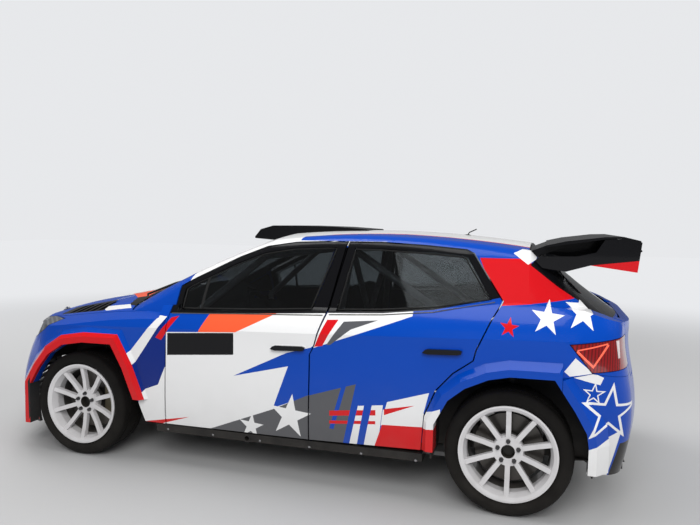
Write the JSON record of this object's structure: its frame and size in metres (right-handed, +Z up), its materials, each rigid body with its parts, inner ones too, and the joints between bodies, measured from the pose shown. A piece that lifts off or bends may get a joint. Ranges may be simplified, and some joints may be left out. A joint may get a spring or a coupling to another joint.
{
  "type": "rally car",
  "caption": "Five-door rally hatchback with wide arches, roof scoop, rear wing and a caged cabin, on tarmac wheels; doors, bonnet and tailgate open and the front wheels steer",
  "frame": {"origin": "on the floor, below the middle of the car's length and width", "axes": "+X forward, +Y to the car's left, +Z up"},
  "size_m": [3.9845, 1.82, 1.44],
  "materials": {
    "paint_blue": "gloss",
    "paint_white": "gloss",
    "paint_red": "gloss",
    "black_plastic": "gloss",
    "glass": "clear",
    "lamp": "clear",
    "floor_paint": "satin",
    "guard": "satin",
    "steel": "satin",
    "cage_paint": "satin",
    "seat_shell": "matte",
    "wheel_white": "gloss",
    "tyre": "matte",
    "grip": "matte"
  },
  "bodies": {
    "body": {"floor_pan": "floor_paint", "front_wheelhouses": "floor_paint", "rear_wheelhouses": "floor_paint", "side_frame_left": "paint_red", "side_frame_right": "paint_red", "roof_panel": "paint_white", "roof_scoop": "black_plastic", "bulkhead": "floor_paint", "front_fender_left": "paint_blue", "front_fender_right": "paint_blue", "front_bumper": "paint_white", "front_grille": "black_plastic", "headlamps": "lamp", "windscreen": "glass", "rear_bumper": "paint_blue", "tail_lamps": "lamp", "engine_block": "steel", "front_suspension": "steel", "rear_suspension": "steel", "sump_guard": "guard", "roll_cage": "cage_paint", "seats": "seat_shell", "dashboard": "black_plastic", "exhaust": "steel"},
    "bonnet": {"bonnet": "paint_white"},
    "tailgate": {"tailgate": "paint_blue", "tailgate_glass": "glass", "rear_wing": "black_plastic"},
    "steering_wheel": {"steering_wheel": "grip"},
    "knuckle_left": {"knuckle_front_left": "steel"},
    "knuckle_right": {"knuckle_front_right": "steel"},
    "wheel_front_left_turning": {"wheel_front_left": "wheel_white", "tyre_front_left": "tyre"},
    "wheel_rear_left_turning": {"wheel_rear_left": "wheel_white", "tyre_rear_left": "tyre"},
    "door_front_left": {"door_front_left": "paint_white", "door_glass_front_left": "glass"},
    "door_rear_left": {"door_rear_left": "paint_blue", "door_glass_rear_left": "glass"},
    "wheel_front_right_turning": {"wheel_front_right": "wheel_white", "tyre_front_right": "tyre"},
    "wheel_rear_right_turning": {"wheel_rear_right": "wheel_white", "tyre_rear_right": "tyre"},
    "door_front_right": {"door_front_right": "paint_white", "door_glass_front_right": "glass"},
    "door_rear_right": {"door_rear_right": "paint_blue", "door_glass_rear_right": "glass"}
  },
  "joints": [
    {"name": "steer_left", "type": "hinge", "parent": "body", "child": "knuckle_left", "pos_m": [1.22, 0.705, 0.19], "axis": [0, -0.2152, 0.9766], "range_deg": [-28, 28]},
    {"name": "steer_right", "type": "hinge", "parent": "body", "child": "knuckle_right", "pos_m": [1.22, -0.705, 0.19], "axis": [0, 0.2152, 0.9766], "range_deg": [-28, 28]},
    {"name": "spin_front_left", "type": "hinge", "parent": "knuckle_left", "child": "wheel_front_left_turning", "pos_m": [1.22, 0.7875, 0.32], "axis": [0, 1, 0], "continuous": true},
    {"name": "spin_rear_left", "type": "hinge", "parent": "body", "child": "wheel_rear_left_turning", "pos_m": [-1.35, 0.7875, 0.32], "axis": [0, 1, 0], "continuous": true},
    {"name": "open_front_left", "type": "hinge", "parent": "body", "child": "door_front_left", "pos_m": [0.626, 0.872, 0.6], "axis": [0, 0, -1], "range_deg": [0, 65]},
    {"name": "open_rear_left", "type": "hinge", "parent": "body", "child": "door_rear_left", "pos_m": [-0.284, 0.876, 0.6], "axis": [0, 0, -1], "range_deg": [0, 65]},
    {"name": "spin_front_right", "type": "hinge", "parent": "knuckle_right", "child": "wheel_front_right_turning", "pos_m": [1.22, -0.7875, 0.32], "axis": [0, 1, 0], "continuous": true},
    {"name": "spin_rear_right", "type": "hinge", "parent": "body", "child": "wheel_rear_right_turning", "pos_m": [-1.35, -0.7875, 0.32], "axis": [0, 1, 0], "continuous": true},
    {"name": "open_front_right", "type": "hinge", "parent": "body", "child": "door_front_right", "pos_m": [0.626, -0.872, 0.6], "axis": [0, 0, 1], "range_deg": [0, 65]},
    {"name": "open_rear_right", "type": "hinge", "parent": "body", "child": "door_rear_right", "pos_m": [-0.284, -0.876, 0.6], "axis": [0, 0, 1], "range_deg": [0, 65]},
    {"name": "turn_steering_wheel", "type": "hinge", "parent": "body", "child": "steering_wheel", "pos_m": [0.25, 0.35, 0.85], "axis": [-0.9135, 0, 0.4067], "range_deg": [-285, 285]},
    {"name": "lift_bonnet", "type": "hinge", "parent": "body", "child": "bonnet", "pos_m": [0.86, 0, 0.91], "axis": [0, -1, 0], "range_deg": [0, 50]},
    {"name": "lift_tailgate", "type": "hinge", "parent": "body", "child": "tailgate", "pos_m": [-1.421, 0, 1.358], "axis": [0, 1, 0], "range_deg": [0, 70]}
  ],
  "couplings": [
    {"joint": "steer_right", "follows": "steer_left", "ratio": 1},
    {"joint": "turn_steering_wheel", "follows": "steer_left", "ratio": 10}
  ]
}
